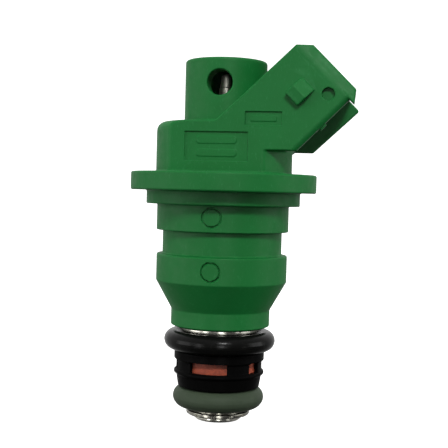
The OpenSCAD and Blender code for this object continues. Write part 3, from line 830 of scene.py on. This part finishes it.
def stage():
    """A white bowl: flat floor just under the tip, rising to a far wall all round"""
    floor_z = low_high("valve_body")[0][2] - 0.4
    profile = [
        (400, floor_z), (700, floor_z), (850, floor_z + 25), (960, floor_z + 110),
        (1000, floor_z + 260), (1000, floor_z + 1400),
    ]
    angles = np.linspace(0, 2 * math.pi, 96, endpoint=False)
    points = [
        (r * math.cos(t) * MM, r * math.sin(t) * MM, z * MM) for t in angles for r, z in profile
    ]
    count = len(profile)
    faces = [[i * count for i in range(len(angles))]]
    for i in range(len(angles)):
        here, there = i * count, (i + 1) % len(angles) * count
        faces += [(here + j, here + j + 1, there + j + 1, there + j) for j in range(count - 1)]
    mesh = bpy.data.meshes.new("floor")
    mesh.from_pydata(points, [], faces)
    mesh.shade_smooth()
    floor = link("floor", mesh)
    floor.visible_diffuse = False
    floor.visible_glossy = False
    floor.visible_shadow = False
    material = bpy.data.materials.new("floor_paper")
    material.use_nodes = True
    nodes, links = material.node_tree.nodes, material.node_tree.links
    nodes.clear()
    paper = nodes.new("ShaderNodeBsdfDiffuse")
    paper.inputs["Color"].default_value = rgb(0.5, 0.5, 0.5)
    glow = nodes.new("ShaderNodeEmission")
    glow.inputs["Strength"].default_value = 1.03
    lit = nodes.new("ShaderNodeAddShader")
    clear = nodes.new("ShaderNodeBsdfTransparent")
    facing = nodes.new("ShaderNodeNewGeometry")
    mix = nodes.new("ShaderNodeMixShader")
    out = nodes.new("ShaderNodeOutputMaterial")
    links.new(paper.outputs[0], lit.inputs[0])
    links.new(glow.outputs[0], lit.inputs[1])
    links.new(facing.outputs["Backfacing"], mix.inputs[0])
    links.new(lit.outputs[0], mix.inputs[1])
    links.new(clear.outputs[0], mix.inputs[2])
    links.new(mix.outputs[0], out.inputs["Surface"])
    mesh.materials.append(material)


def world():
    """Studio surroundings: bright above and behind, dim in front and below"""
    made = bpy.data.worlds.new("studio")
    bpy.context.scene.world = made
    made.use_nodes = True
    nodes, links = made.node_tree.nodes, made.node_tree.links
    spot = nodes.new("ShaderNodeTexCoord")
    tilt = nodes.new("ShaderNodeVectorMath")
    tilt.operation = "DOT_PRODUCT"
    tilt.inputs[1].default_value = (-0.3, 0.45, 0.84)
    links.new(spot.outputs["Generated"], tilt.inputs[0])
    level = nodes.new("ShaderNodeMapRange")
    from_min, from_max, dim, bright = -0.6, 0.85, 0.07, 1.1
    for key, value in enumerate((from_min, from_max, dim, bright), 1):
        level.inputs[key].default_value = value
    links.new(tilt.outputs["Value"], level.inputs[0])
    background = nodes["Background"]
    background.inputs["Color"].default_value = rgb(1, 1, 1)
    links.new(level.outputs[0], background.inputs["Strength"])


# Name, azimuth and elevation in degrees, distance, width and height in metres, power in watts,
# and whether it lights matt surfaces too. The strips only shine in the metal and the rubber.
LIGHTS = (
    ("key", 19, 36, 0.5, 0.08, 0.08, 1.7, True),
    ("fill_left", -68, 2, 0.6, 0.35, 0.35, 1.25, True),
    ("fill_right", 92, 6, 0.6, 0.35, 0.35, 1.25, True),
    ("strip_left", -34, -5, 0.5, 0.1, 0.4, 0.65, False),
    ("strip_front", 14, -5, 0.5, 0.1, 0.4, 0.55, False),
    ("glint", 15, -2, 0.5, 0.03, 0.2, 0.22, False),
    ("strip_right", 62, -12, 0.5, 0.05, 0.2, 0.07, False),
)


def area_light(name, azimuth, elevation, distance, width, height, power, diffuse):
    """A soft light aimed at the part. Azimuth 0 is the front and 90 is +X."""
    data = bpy.data.lights.new(name, "AREA")
    data.shape = "RECTANGLE"
    data.size = width
    data.size_y = height
    data.energy = power
    lamp = bpy.data.objects.new(name, data)
    bpy.context.scene.collection.objects.link(lamp)
    turn, lift = math.radians(azimuth), math.radians(elevation)
    back = Vector((
        math.sin(turn) * math.cos(lift), -math.cos(turn) * math.cos(lift), math.sin(lift)
    ))
    lamp.location = back * distance
    lamp.rotation_mode = "QUATERNION"
    lamp.rotation_quaternion = back.to_track_quat("Z", "Y")
    lamp.visible_diffuse = diffuse


def camera():
    azimuth, pitch, roll = math.radians(9.3), math.radians(1.945), math.radians(1.53)
    distance, aside = 0.1618, 0.00024
    data = bpy.data.cameras.new("camera")
    data.sensor_width = 36.0
    data.lens = 76.5
    data.clip_start = 0.001
    eye = bpy.data.objects.new("camera", data)
    bpy.context.scene.collection.objects.link(eye)
    right = Vector((math.cos(azimuth), math.sin(azimuth), 0))
    ahead = Vector((
        -math.sin(azimuth) * math.cos(pitch), math.cos(azimuth) * math.cos(pitch), -math.sin(pitch)
    ))
    up = right.cross(ahead)
    across = right * math.cos(roll) + up * math.sin(roll)
    top = up * math.cos(roll) - right * math.sin(roll)
    turn = Matrix((across, top, -ahead)).transposed().to_4x4()
    place = Vector((math.sin(azimuth) * distance, -math.cos(azimuth) * distance, 0))
    eye.matrix_world = Matrix.Translation(place + right * aside) @ turn
    bpy.context.scene.camera = eye


build()
stage()
world()
for light in LIGHTS:
    area_light(*light)
camera()
bpy.context.scene.view_settings.view_transform = "Standard"
